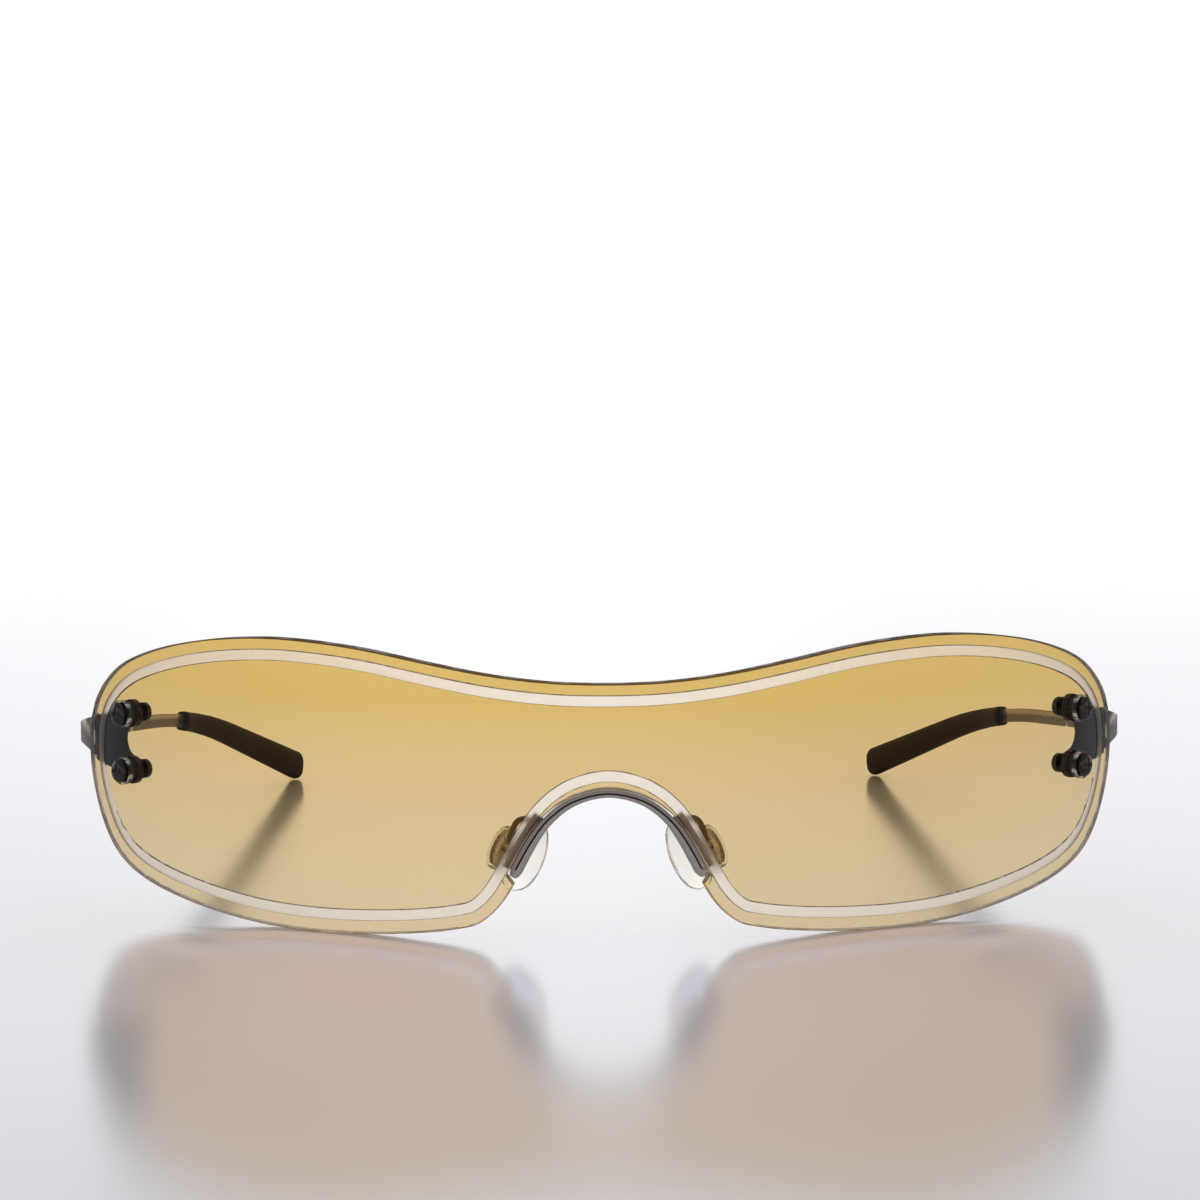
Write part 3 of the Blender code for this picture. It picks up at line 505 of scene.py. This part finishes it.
# %% [markdown]
# ## Narrow strips
# Unrolled, the front and the rear of the lens are a few large faces, and a face can't bend between
# its points. So before we roll the sheet up, we cut it from top to bottom. A cut every millimetre
# leaves a turn of 0.7 degrees between strips, which smooth shading hides. Subdividing would also
# cut in height, where the sheet is straight, and give many more faces for the same curve.

# %% Cut into strips
strip_width = 0.0010


def cut_strips(bm):
    """Cuts the flat lens every millimetre, so that it rolls up smoothly."""
    reach = int(max(vert.co.x for vert in bm.verts) / strip_width)
    for step in range(-reach, reach + 1):
        parts = [*bm.verts, *bm.edges, *bm.faces]
        cut = (step * strip_width, 0, 0)
        bmesh.ops.bisect_plane(
            bm, geom=parts, dist=merge_distance, plane_co=cut, plane_no=(1, 0, 0),
        )


cut_strips(lens_bm)
print("lens faces after the cuts:", len(lens_bm.faces))

# %% [markdown]
# ## Which face of the lens is which
# Front, dyed rear, groove and cut edge are finished differently, so each needs a material slot of
# its own. We could pick them by hand in Edit Mode. While the lens is flat, a face's depth tells
# what it is, which also works when the model changes. The walls of the screw holes are edges near
# a bush.

# %% Sort the faces
FRONT, REAR, GROOVE, EDGE, BORE = range(5)
lens_thickness = max(vert.co.y for vert in lens_bm.verts)
groove_floor = 0.00145
depth_slack = 0.00004
bore_reach = 0.0022
bore_places = [
    unrolled(sum((Vector(corner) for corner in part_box(name)), Vector()) / 2)
    for name in nodes if name.startswith("lens_bush")
]


def face_kind(face):
    """Material slot of a face of the flat lens."""
    depths = [vert.co.y for vert in face.verts]
    low, high = min(depths), max(depths)
    if high < depth_slack:
        return FRONT
    if low > lens_thickness - depth_slack:
        return REAR
    if abs(low - groove_floor) < depth_slack and high < groove_floor + depth_slack:
        return GROOVE
    middle = face.calc_center_median()
    if min(hypot(middle.x - hole.x, middle.z - hole.z) for hole in bore_places) < bore_reach:
        return BORE
    return EDGE


for face in lens_bm.faces:
    face.material_index = face_kind(face)
print("lens thickness in mm:", round(1000 * lens_thickness, 2))

# %% [markdown]
# ## Roll up the lens
# Now the sheet is rolled up and becomes a mesh. Blender could average the normals of its faces, but
# next to cut edges that leaves faint bands in the glass. The front, the rear and the groove floor
# lie on cylinders, so we know their normals exactly and set them.

# %% Roll up the lens
sharp_angle = radians(35)
facing = {FRONT: 1, REAR: -1, GROOVE: -1}


def true_normals(mesh):
    """Exact normals where a face lies on a cylinder, and (0, 0, 0) for automatic ones."""
    normals = []
    for face in mesh.polygons:
        side = facing.get(face.material_index, 0)
        for index in face.vertices:
            point = mesh.vertices[index].co
            outward = Vector((point.x, point.y - roll_axis_y, 0)).normalized()
            normals.append(outward * side)
    return normals


for vert in lens_bm.verts:
    vert.co = rolled(vert.co)
lens_mesh = bpy.data.meshes.new("lens_visual")
lens_bm.to_mesh(lens_mesh)
lens_bm.free()
lens_mesh.shade_smooth()
lens_mesh.set_sharp_from_angle(angle=sharp_angle)
lens_mesh.normals_split_custom_set(true_normals(lens_mesh))
lens = bpy.data.objects.new("lens_visual", lens_mesh)
scene.collection.objects.link(lens)
print("lens: faces", len(lens_mesh.polygons), "points", len(lens_mesh.vertices))

# %% [markdown]
# ## Glass
# Glass is a Principled shader with full transmission. A real sheet with refraction shows what lies
# behind it slightly shifted, which a plain Transparent shader can't. But lamps can't shine through
# refracting glass without noise, so shadow rays meet a tinted Transparent shader instead. The real
# lens shows hardly any reflection when we look straight at it, as one with an anti-glare coating
# would. Whether it has one can't be seen, but Specular Tint gives the same effect here.

# %% Glass
lens_ior = 1.53
mirror_share = 0.05
shadow_tint = (0.72, 0.56, 0.46)


def let_light_through(tree, shader, tint):
    """Shadow rays pass a tinted Transparent shader in place of the glass."""
    path = tree.nodes.new("ShaderNodeLightPath")
    partly_clear(tree, shader, path.outputs["Is Shadow Ray"], tint)


def glass(name, colour, roughness, shadow, ior=lens_ior, mirror=1.0):
    """Clear plastic that lamps shine through; mirror scales how much its face reflects."""
    made, tree, shader = new_material(name, colour, roughness, Transmission_Weight=1.0, IOR=ior)
    shader.inputs["Specular Tint"].default_value = (mirror, mirror, mirror, 1)
    let_light_through(tree, shader, shadow)
    return made, tree, shader


def lens_glass(name, colour, roughness, shadow=shadow_tint):
    """Lens plastic that reflects little, as with an anti-glare coating."""
    return glass(name, colour, roughness, shadow, mirror=mirror_share)


print("refractive index of the lens:", lens_ior)

# %% [markdown]
# ## Colours by place
# The dye is deeper at the brow than below. The cut edge follows it, and painted shade makes the
# edge much darker at the brow. A painted texture could hold such a fade. Here the height itself
# drives the colour, which is darkest from 80% up. The groove gets painted warm shade towards the
# upper corners, so it needs the distance to the side too.

# %% Colours by place
lens_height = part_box("lens_shield")[1].z
darkest_height = 0.80 * lens_height
warmest_side = 0.040


def place_share(tree, axis, reach):
    """0 in the middle or on the table, and 1 at the given distance along x or z."""
    split = tree.nodes.new("ShaderNodeSeparateXYZ")
    tree.links.new(object_space(tree), split.inputs["Vector"])
    return spread(tree, calc(tree, "ABSOLUTE", split.outputs[axis]), 0, 1, 0, reach)


def height_blend(tree, shader, low_colour, high_colour):
    """Colours a shader by height, up to where the dye is darkest; on the cut edge it carries
    painted shade.
    """
    height = place_share(tree, "Z", darkest_height)
    feed(tree, shader.inputs["Base Color"], blend(tree, height, low_colour, high_colour, "RGBA"))


print("the dye is darkest from", round(1000 * darkest_height, 1), "mm up")

# %% [markdown]
# ## Lens materials
# The front is clear and polished, and the rear is amber. We finish the groove as a small end mill
# would leave it, rough and pale, with the dye gone, and paint warm shade into its upper corners.
# The cut edge is matt, with painted shade towards the brow. One material with masks could cover
# all of them, but one for each kind of face is easier to read and to change.

# %% Front and rear of the lens
brow_tint = (0.485, 0.233, 0.023)
lower_tint = (0.63, 0.415, 0.157)


def lens_front_material():
    """Polished clear front with the faintest wipe marks."""
    made, tree, shader = lens_glass("lens_front", (1, 1, 1), roughness=0.0, shadow=(1, 1, 1))
    marks = noise(tree, object_space(tree, stretch=(1, 1, 4)), size=0.004, detail=6)
    feed(tree, shader.inputs["Roughness"], spread(tree, marks, 0.0, 0.02, start=0.55, end=0.8))
    return made


def lens_rear_material():
    """Amber dye, deeper at the brow."""
    made, tree, shader = lens_glass("lens_rear", brow_tint, roughness=0.0)
    height_blend(tree, shader, lower_tint, brow_tint)
    return made


lens_mesh.materials.append(lens_front_material())
lens_mesh.materials.append(lens_rear_material())
print("lens slots:", [m.name for m in lens_mesh.materials])

# %% Groove, edge and screw holes
groove_pale = (0.98, 0.83, 0.61)
# groove_pale is the frosted floor's own colour; the next one is painted warm shade for its upper
# corners.
groove_corner_shade = (0.88, 0.62, 0.33)
# The near-black edge colour is painted shade for the dark line of the lens edge at the brow.
edge_brow_shade = (0.08, 0.045, 0.018)
edge_amber = (0.62, 0.45, 0.24)


def lens_groove_material():
    """Milled, frosted floor of the groove, where the dye is gone, with painted warm shade in its
    upper corners.
    """
    made, tree, shader = lens_glass(
        "lens_groove", groove_pale, roughness=0.50, shadow=(0.9, 0.86, 0.78),
    )
    # Side and height together mask the painted warm shade in the groove's upper corners.
    side, height = place_share(tree, "X", warmest_side), place_share(tree, "Z", lens_height)
    amber = calc(tree, "MULTIPLY", side, height)
    feed(tree, shader.inputs["Base Color"], blend(tree, amber, groove_pale, groove_corner_shade, "RGBA"))
    grain = noise(tree, object_space(tree), size=0.00035, detail=4)
    vary(tree, shader, grain, roughness=(0.45, 0.62))
    return made


def lens_edge_material():
    """Matt cut edge, amber below, with painted shade that darkens it towards the brow."""
    made, tree, shader = lens_glass("lens_edge", edge_brow_shade, roughness=0.38)
    # Painted shade darkens the edge towards the brow.
    height_blend(tree, shader, edge_amber, edge_brow_shade)
    grain = noise(tree, object_space(tree), size=0.0006, detail=4)
    vary(tree, shader, grain, roughness=(0.32, 0.44))
    return made


def lens_bore_material():
    """Drilled wall of a screw hole, painted dark as shade in the hole next to the black bush."""
    # The wall's dark brown is painted shade, not the clear plastic's own colour.
    made, tree, shader = new_material("lens_bore", (0.03, 0.02, 0.012), roughness=0.5)
    grain = noise(tree, object_space(tree), size=0.0003, detail=4)
    vary(tree, shader, grain, colours=((0.02, 0.014, 0.009), (0.06, 0.04, 0.02)))
    return made


for recipe in (lens_groove_material, lens_edge_material, lens_bore_material):
    lens_mesh.materials.append(recipe())
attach(lens, "front")
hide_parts("lens_shield")
print("lens slots:", [m.name for m in lens_mesh.materials])

# %% [markdown]
# ## Dressing the other solids
# The remaining CAD solids have the right shape, so modelling them again would gain nothing. But
# their meshes came in as separate facets. For each one we make a copy whose points are joined and
# whose round faces are shaded smooth, and give it its finish.

# %% Dress a solid


def dressed(node, body, look, sharp=sharp_angle):
    """A smooth-shaded copy of a CAD solid, in its own material."""
    bm = bmesh.new()
    bm.from_mesh(nodes[node].data)
    bmesh.ops.remove_doubles(bm, verts=bm.verts, dist=merge_distance)
    mesh = bpy.data.meshes.new(node + "_visual")
    bm.to_mesh(mesh)
    bm.free()
    mesh.shade_smooth()
    mesh.set_sharp_from_angle(angle=sharp)
    mesh.materials.append(look)
    piece = bpy.data.objects.new(node + "_visual", mesh)
    scene.collection.objects.link(piece)
    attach(piece, body)
    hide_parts(node)
    return piece


print("sharp edges start at", round(degrees(sharp_angle)), "degrees")

# %% [markdown]
# ## Grey metal
# The nose strip and the pad arms are satin grey, as if blasted with fine beads. Blasting leaves
# tiny dents that scatter the light. Modelling them would take millions of faces, so noise varies
# the colour and roughness and lifts a very low bump. The strip gets two materials more, for lines
# that we add to it later: painted shade in its groove and a painted lighter band beside it.

# %% Grey metal
bead_grain = 0.00025
bead_height = 0.000004


def satin_grey():
    """Bead-blasted grey metal."""
    made, tree, shader = new_material(
        "satin_grey", (0.34, 0.295, 0.27), roughness=0.34, metallic=0.7,
    )
    grain = noise(tree, object_space(tree), bead_grain, detail=5)
    greys = (0.26, 0.225, 0.205), (0.43, 0.375, 0.345)
    vary(tree, shader, grain, greys, roughness=(0.30, 0.42), height=bead_height)
    return made


def strip_groove_shade():
    """Painted shade in the groove of the nose strip."""
    # A dark grey stands for the shade that falls in the groove.
    made, tree, shader = new_material(
        "strip_groove_shade", (0.05, 0.042, 0.038), roughness=0.42, metallic=0.7,
    )
    grain = noise(tree, object_space(tree), bead_grain, detail=5)
    darks = (0.035, 0.029, 0.026), (0.07, 0.06, 0.055)
    vary(tree, shader, grain, darks, roughness=(0.36, 0.50))
    return made


def strip_lit_band():
    """Painted light on the band inside the nose strip's groove, a paler copy of its satin grey."""
    # A paler, less metallic grey is painted light on the band inside the groove.
    made, tree, shader = new_material(
        "strip_lit_band", (0.42, 0.37, 0.345), roughness=0.42, metallic=0.3,
    )
    grain = noise(tree, object_space(tree), bead_grain, detail=5)
    pales = (0.36, 0.315, 0.29), (0.50, 0.445, 0.415)
    vary(tree, shader, grain, pales, roughness=(0.36, 0.50), height=bead_height)
    return made


grey_look = satin_grey()
print("grey metal:", grey_look.name)

# %% [markdown]
# ## Black metal
# The screws and cap nuts are blackened, and keep the soft shine of metal. The end pieces have a
# duller black coat. One black for all of them would look like moulded plastic. So the first finish
# is fully metallic, and the second isn't metallic at all and reflects little.

# %% Black metal


def blackened():
    """Black-coated metal with a soft shine."""
    made, tree, shader = new_material(
        "blackened", (0.05, 0.045, 0.042), roughness=0.26, metallic=1.0,
    )
    grain = noise(tree, object_space(tree), size=0.0004, detail=5)
    blacks = (0.040, 0.036, 0.033), (0.075, 0.068, 0.062)
    vary(tree, shader, grain, blacks, roughness=(0.24, 0.40))
    return made


def black_coat():
    """Dull black coating of the end pieces."""
    made, tree, shader = new_material(
        "black_coat", (0.005, 0.004, 0.003), roughness=0.45, Specular_IOR_Level=0.06,
    )
    grain = noise(tree, object_space(tree), size=0.0003, detail=5)
    blacks = (0.003, 0.002, 0.002), (0.008, 0.006, 0.005)
    vary(tree, shader, grain, blacks, roughness=(0.38, 0.52), height=0.000003)
    return made


black_look, coat_look = blackened(), black_coat()
print("black metal:", black_look.name, coat_look.name)

# %% [markdown]
# ## Brushed metal
# The temples are gunmetal grey. They are too thin in the photograph to show their finish, so we
# brush them along their length, as is usual for such strips. Anisotropic reflection could stand in
# for the brushing, but it needs tangents laid out along the strip. Noise drawn out along one axis
# is simpler, and shows the single hairlines up close.

# %% Brushed metal


def brushed():
    """Gunmetal brushed along the temple."""
    made, tree, shader = new_material(
        "brushed_gunmetal", (0.29, 0.25, 0.225), roughness=0.30, metallic=1.0,
    )
    streaks = noise(tree, object_space(tree, stretch=(1, 0.03, 1)), size=0.00012, detail=3)
    greys = (0.21, 0.18, 0.16), (0.38, 0.335, 0.30)
    vary(tree, shader, streaks, greys, roughness=(0.22, 0.40), height=0.000003)
    return made


brushed_look = brushed()
print("brushed metal:", brushed_look.name)

# %% [markdown]
# ## Dark plastics
# The sleeves are matt and very dark brown, and the bushes are black. Pure black would lose their
# round shape, so both keep a little colour, and a fine grain breaks up their highlights.

# %% Dark plastics


def dark_sleeve():
    """Matt dark brown moulded sleeve."""
    made, tree, shader = new_material(
        "dark_sleeve", (0.020, 0.008, 0.004), roughness=0.58,
        Specular_IOR_Level=0.09, Specular_Tint=(1, 0.7, 0.5, 1),
    )
    grain = noise(tree, object_space(tree), size=0.0003, detail=5)
    browns = (0.014, 0.005, 0.003), (0.031, 0.013, 0.007)
    vary(tree, shader, grain, browns, roughness=(0.52, 0.66), height=0.000008)
    return made


def black_nylon():
    """Black moulded bushes."""
    made, tree, shader = new_material("black_nylon", (0.020, 0.017, 0.015), roughness=0.45)
    grain = noise(tree, object_space(tree), size=0.0003, detail=4)
    blacks = (0.014, 0.012, 0.011), (0.034, 0.029, 0.026)
    vary(tree, shader, grain, blacks, roughness=(0.35, 0.55))
    return made


sleeve_look, nylon_look = dark_sleeve(), black_nylon()
print("dark plastics:", sleeve_look.name, nylon_look.name)

# %% [markdown]
# ## Clear plastics and silicone
# The washers are clear and the pad inserts smoky. The nose pads are clear silicone with a touch of
# cream. Subsurface scattering is the usual way to make silicone, but it would hide the insert. So a
# pad has soft, rough transmission with a low IOR: with silicone's real one it would mirror the dark
# side of the room along its rim, and look greyer than it does in a bright studio.

# %% Clear plastics


def smoky_plastic():
    """Smoky see-through plastic of the pad inserts."""
    made, tree, shader = glass(
        "smoky_plastic", (0.52, 0.44, 0.33), roughness=0.25, shadow=(0.5, 0.43, 0.35), ior=1.30,
    )
    cloud = noise(tree, object_space(tree), size=0.0012, detail=3)
    smokes = (0.48, 0.40, 0.30), (0.56, 0.48, 0.37)
    vary(tree, shader, cloud, smokes, roughness=(0.18, 0.32))
    return made


def clear_washer():
    """Clear washer under a screw head."""
    made, tree, shader = glass(
        "clear_washer", (0.75, 0.73, 0.70), roughness=0.10, shadow=(0.9, 0.9, 0.9), ior=1.49,
    )
    grain = noise(tree, object_space(tree), size=0.0005, detail=3)
    vary(tree, shader, grain, roughness=(0.03, 0.12))
    return made


def milky_silicone():
    """Clear silicone, a little milky and yellowed."""
    made, tree, shader = new_material(
        "milky_silicone", (0.99, 0.985, 0.93), roughness=0.20, Transmission_Weight=0.92, IOR=1.06,
    )
    let_light_through(tree, shader, tint=(0.85, 0.84, 0.78))
    cloud = noise(tree, object_space(tree), size=0.0018, detail=4)
    creams = (0.98, 0.965, 0.86), (1.0, 0.995, 0.94)
    vary(tree, shader, cloud, creams, roughness=(0.12, 0.26))
    return made


insert_look, washer_look, silicone_look = smoky_plastic(), clear_washer(), milky_silicone()
print("clear plastics:", insert_look.name, washer_look.name, silicone_look.name)

# %% [markdown]
# ## Hand out the finishes
# Each piece of the front needs a body to ride on, a slot and a finish. We could write a line for
# every piece, but left and right repeat, and so do upper and lower fasteners. A loop over the sides
# keeps the table of finishes short.

# %% Pieces fixed to the front
fixed_kinds = [
    ("pad_arm", "grey_metal", grey_look),
    ("endpiece", "black_metal", coat_look),
    ("hinge_screw", "black_metal", black_look),
]
fastener_kinds = [
    ("lens_screw", "black_metal", black_look),
    ("cap_nut", "black_metal", black_look),
    ("lens_bush", "black_plastic", nylon_look),
    ("lens_washer", "clear_plastic", washer_look),
]
for side in ("left", "right"):
    for kind, slot, look in fixed_kinds:
        dressed(f"{kind}_{side}", "front", look)
    for kind, slot, look in fastener_kinds:
        for level in ("upper", "lower"):
            dressed(f"{kind}_{side}_{level}", "front", look)

# %% [markdown]
# ## The lines of the nose strip
# A fine groove runs along the front of the nose strip, and its inner corner is bevelled. Both are
# in the CAD solid, but smooth shading would wash them out, so this piece keeps sharper edges. The
# groove looks dark on the real strip, and the band inside it looks paler. We paint that shade into
# the groove and that light onto the band. Faces could be picked by number, but numbers change when
# the model does. So we know the groove's faces by how far they lean away from the front, and the
# faces of the band because they lie nearer to the middle of the arch than the groove beside them.

# %% Faces of the nose strip
strip_sharp_angle = radians(12)
steepest_line, flattest_line = 0.30, 0.60
arch_middle_height = 0.004
neighbours = 8


def arch_place(face):
    """Angle and distance of a face of the strip, seen from the middle of the arch."""
    rise = face.center.z - arch_middle_height
    return atan2(face.center.x, rise), hypot(face.center.x, rise)


def is_inner(face, lines):
    """Whether a front face lies inside the groove; lines holds the places of the dark faces."""
    angle, reach = arch_place(face)
    near = sorted(lines, key=lambda line: abs(line[0] - angle))[:neighbours]
    return reach < max(line[1] for line in near)


def strip_faces(mesh):
    """The faces for painted shade in the strip's groove, and those for the painted light band."""
    dark, front = [], []
    for face in mesh.polygons:
        outward = Vector((face.center.x, face.center.y - roll_axis_y, 0)).normalized()
        lean = face.normal.dot(outward)
        if steepest_line < lean < flattest_line:
            dark.append(face)
        elif lean >= flattest_line:
            front.append(face)
    lines = [arch_place(face) for face in dark]
    return dark, [face for face in front if is_inner(face, lines)]


print("middle of the arch in mm above the table:", 1000 * arch_middle_height)

# %% Nose strip
strip = dressed("nose_bridge", "front", grey_look, strip_sharp_angle)
strip.data.materials.append(strip_groove_shade())
strip.data.materials.append(strip_lit_band())
# Slot 1 gets the painted groove shade, slot 2 the painted light band.
for index, faces in enumerate(strip_faces(strip.data), start=1):
    for face in faces:
        face.material_index = index
    print("faces in", strip.data.materials[index].name, "-", len(faces))

# %% [markdown]
# ## Pieces that move
# The temples fold with their sleeves, and the pads rock on their arms with the inserts in them. An
# armature could carry them, but here each piece only names the body it rides on.

# %% Moving pieces
moving_kinds = [
    ("temple", "temple", "brushed_steel", brushed_look),
    ("temple_tip", "temple", "tip_rubber", sleeve_look),
    ("nose_pad", "nose_pad", "clear_silicone", silicone_look),
    ("pad_insert", "nose_pad", "black_plastic", insert_look),
]
for side in ("left", "right"):
    for kind, body, slot, look in moving_kinds:
        dressed(f"{kind}_{side}", f"{body}_{side}", look)
